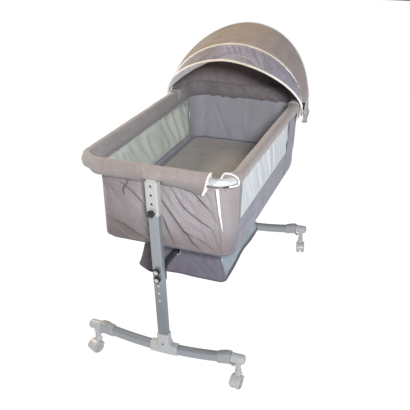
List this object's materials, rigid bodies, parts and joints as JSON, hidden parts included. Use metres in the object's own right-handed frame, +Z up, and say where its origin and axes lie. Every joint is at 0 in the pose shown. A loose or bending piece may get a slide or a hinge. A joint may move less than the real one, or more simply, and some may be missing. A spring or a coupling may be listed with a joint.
{
  "type": "bassinet on stand",
  "caption": "Bedside bassinet: padded oval-cornered rail with a drop side, folding hood, mattress and hanging basket, on posts with curved feet and fold-up casters.",
  "frame": {"origin": "on the floor under the middle of the object's outer box", "axes": "+Z up, +X towards the drop side, +Y towards the head end with the hood"},
  "size_m": [0.631, 1.0484, 1.0685],
  "materials": {
    "base_silver": "satin",
    "tube_steel": "satin",
    "grey_plastic": "satin",
    "white_plastic": "satin",
    "wheel_plastic": "satin",
    "black_plastic": "satin",
    "button_plastic": "satin",
    "crossbar_paint": "satin",
    "rail_fabric": "matte",
    "body_fabric": "matte",
    "side_fabric": "matte",
    "mesh_fabric": "matte",
    "mattress_fabric": "matte",
    "board": "matte",
    "hood_fabric": "matte",
    "hood_piping": "satin"
  },
  "bodies": {
    "base": {"foot_tube_front": "base_silver", "foot_tube_rear": "base_silver", "foot_tee_front": "grey_plastic", "foot_tee_rear": "grey_plastic", "post_front": "base_silver", "post_rear": "base_silver", "foot_collar_fl": "grey_plastic", "foot_collar_fr": "grey_plastic", "foot_collar_rl": "grey_plastic", "foot_collar_rr": "grey_plastic"},
    "crib": {"rail_frame": "tube_steel", "rail_pad": "rail_fabric", "height_sleeve_front": "white_plastic", "height_sleeve_rear": "white_plastic", "end_panel_front": "body_fabric", "end_panel_rear": "body_fabric", "side_panel_left": "side_fabric", "side_panel_right_lower": "side_fabric", "floor_panel": "side_fabric", "bottom_ring": "tube_steel", "mattress_board": "board", "mattress": "mattress_fabric", "basket": "body_fabric", "hood_bow_rear": "tube_steel", "hood_dome": "hood_fabric", "hood_back": "hood_fabric", "hood_clip_left": "white_plastic", "hood_clip_right": "white_plastic"},
    "crossbar": {"crossbar": "crossbar_paint", "bar_bracket_front": "black_plastic", "bar_bracket_rear": "black_plastic"},
    "height_knob_front": {"height_knob_front": "black_plastic"},
    "height_knob_rear": {"height_knob_rear": "black_plastic"},
    "drop_side": {"drop_bar": "tube_steel", "drop_side_pad": "rail_fabric", "drop_side_flap": "body_fabric", "drop_side_mesh": "mesh_fabric"},
    "release_button_front": {"release_button_front": "button_plastic"},
    "release_button_rear": {"release_button_rear": "button_plastic"},
    "hood_middle": {"hood_bow_mid": "hood_piping"},
    "hood_front": {"hood_bow_front": "hood_piping", "hood_visor": "hood_fabric"},
    "bar_knob_front_upper": {"bar_knob_front_upper": "black_plastic"},
    "bar_knob_front_lower": {"bar_knob_front_lower": "black_plastic"},
    "bar_knob_rear_upper": {"bar_knob_rear_upper": "black_plastic"},
    "bar_knob_rear_lower": {"bar_knob_rear_lower": "black_plastic"},
    "caster_head_fl": {"caster_head_fl": "grey_plastic"},
    "caster_cover_fl": {"caster_cover_fl": "white_plastic"},
    "caster_wheels_fl": {"caster_wheels_fl": "wheel_plastic"},
    "caster_head_fr": {"caster_head_fr": "grey_plastic"},
    "caster_cover_fr": {"caster_cover_fr": "white_plastic"},
    "caster_wheels_fr": {"caster_wheels_fr": "wheel_plastic"},
    "caster_head_rl": {"caster_head_rl": "grey_plastic"},
    "caster_cover_rl": {"caster_cover_rl": "white_plastic"},
    "caster_wheels_rl": {"caster_wheels_rl": "wheel_plastic"},
    "caster_head_rr": {"caster_head_rr": "grey_plastic"},
    "caster_cover_rr": {"caster_cover_rr": "white_plastic"},
    "caster_wheels_rr": {"caster_wheels_rr": "wheel_plastic"}
  },
  "joints": [
    {"name": "crib_height", "type": "slide", "parent": "base", "child": "crib", "axis": [0, 0, 1], "range_m": [-0.093, 0]},
    {"name": "crossbar_height", "type": "slide", "parent": "base", "child": "crossbar", "axis": [0, 0, 1], "range_m": [-0.093, 0]},
    {"name": "height_knob_front_turn", "type": "hinge", "parent": "base", "child": "height_knob_front", "pos_m": [0.00145, -0.49854, 0.657], "axis": [0, -1, 0], "continuous": true},
    {"name": "bar_knob_front_upper_turn", "type": "hinge", "parent": "crossbar", "child": "bar_knob_front_upper", "pos_m": [0.00145, -0.49554, 0.433], "axis": [0, -1, 0], "continuous": true},
    {"name": "bar_knob_front_lower_turn", "type": "hinge", "parent": "crossbar", "child": "bar_knob_front_lower", "pos_m": [0.00145, -0.49554, 0.402], "axis": [0, -1, 0], "continuous": true},
    {"name": "height_knob_rear_turn", "type": "hinge", "parent": "base", "child": "height_knob_rear", "pos_m": [0.00145, 0.48546, 0.657], "axis": [0, 1, 0], "continuous": true},
    {"name": "bar_knob_rear_upper_turn", "type": "hinge", "parent": "crossbar", "child": "bar_knob_rear_upper", "pos_m": [0.00145, 0.48246, 0.433], "axis": [0, 1, 0], "continuous": true},
    {"name": "bar_knob_rear_lower_turn", "type": "hinge", "parent": "crossbar", "child": "bar_knob_rear_lower", "pos_m": [0.00145, 0.48246, 0.402], "axis": [0, 1, 0], "continuous": true},
    {"name": "drop_side_fold", "type": "hinge", "parent": "crib", "child": "drop_side", "pos_m": [0.25045, -0.00654, 0.6015], "axis": [0, 1, 0], "range_deg": [0, 165]},
    {"name": "release_button_front_press", "type": "slide", "parent": "drop_side", "child": "release_button_front", "axis": [0, 0, 1], "range_m": [0, 0.003], "stiffness_N_per_m": 200},
    {"name": "release_button_rear_press", "type": "slide", "parent": "drop_side", "child": "release_button_rear", "axis": [0, 0, 1], "range_m": [0, 0.003], "stiffness_N_per_m": 200},
    {"name": "hood_fold", "type": "hinge", "parent": "crib", "child": "hood_middle", "pos_m": [0.00145, 0.28346, 0.775], "axis": [1, 0, 0], "range_deg": [-25, 8], "deforming": ["hood_dome"]},
    {"name": "hood_front_fold", "type": "hinge", "parent": "hood_middle", "child": "hood_front", "pos_m": [0.00145, 0.28346, 0.775], "axis": [1, 0, 0], "range_deg": [-25, 8], "deforming": ["hood_visor"]},
    {"name": "caster_fold_fl", "type": "hinge", "parent": "base", "child": "caster_head_fl", "pos_m": [-0.28105, -0.47854, 0.12], "axis": [1, 0, 0], "range_deg": [0, 180]},
    {"name": "caster_swivel_fl", "type": "hinge", "parent": "caster_head_fl", "child": "caster_cover_fl", "pos_m": [-0.28105, -0.47854, 0.06], "axis": [0, 0, 1], "continuous": true},
    {"name": "caster_spin_fl", "type": "hinge", "parent": "caster_cover_fl", "child": "caster_wheels_fl", "pos_m": [-0.28697, -0.49123, 0.024], "axis": [0.9063, -0.4226, 0], "continuous": true},
    {"name": "caster_fold_fr", "type": "hinge", "parent": "base", "child": "caster_head_fr", "pos_m": [0.28395, -0.47854, 0.12], "axis": [1, 0, 0], "range_deg": [0, 180]},
    {"name": "caster_swivel_fr", "type": "hinge", "parent": "caster_head_fr", "child": "caster_cover_fr", "pos_m": [0.28395, -0.47854, 0.06], "axis": [0, 0, 1], "continuous": true},
    {"name": "caster_spin_fr", "type": "hinge", "parent": "caster_cover_fr", "child": "caster_wheels_fr", "pos_m": [0.28249, -0.49246, 0.024], "axis": [0.9945, -0.1045, 0], "continuous": true},
    {"name": "caster_fold_rl", "type": "hinge", "parent": "base", "child": "caster_head_rl", "pos_m": [-0.28105, 0.46546, 0.12], "axis": [1, 0, 0], "range_deg": [-180, 0]},
    {"name": "caster_swivel_rl", "type": "hinge", "parent": "caster_head_rl", "child": "caster_cover_rl", "pos_m": [-0.28105, 0.46546, 0.06], "axis": [0, 0, 1], "continuous": true},
    {"name": "caster_spin_rl", "type": "hinge", "parent": "caster_cover_rl", "child": "caster_wheels_rl", "pos_m": [-0.27405, 0.45333, 0.024], "axis": [0.866, 0.5, 0], "continuous": true},
    {"name": "caster_fold_rr", "type": "hinge", "parent": "base", "child": "caster_head_rr", "pos_m": [0.28395, 0.46546, 0.12], "axis": [1, 0, 0], "range_deg": [-180, 0]},
    {"name": "caster_swivel_rr", "type": "hinge", "parent": "caster_head_rr", "child": "caster_cover_rr", "pos_m": [0.28395, 0.46546, 0.06], "axis": [0, 0, 1], "continuous": true},
    {"name": "caster_spin_rr", "type": "hinge", "parent": "caster_cover_rr", "child": "caster_wheels_rr", "pos_m": [0.28757, 0.45194, 0.024], "axis": [0.9659, 0.2588, 0], "continuous": true}
  ],
  "couplings": [
    {"joint": "crossbar_height", "follows": "crib_height", "ratio": 1},
    {"joint": "hood_front_fold", "follows": "hood_fold", "ratio": 1}
  ]
}
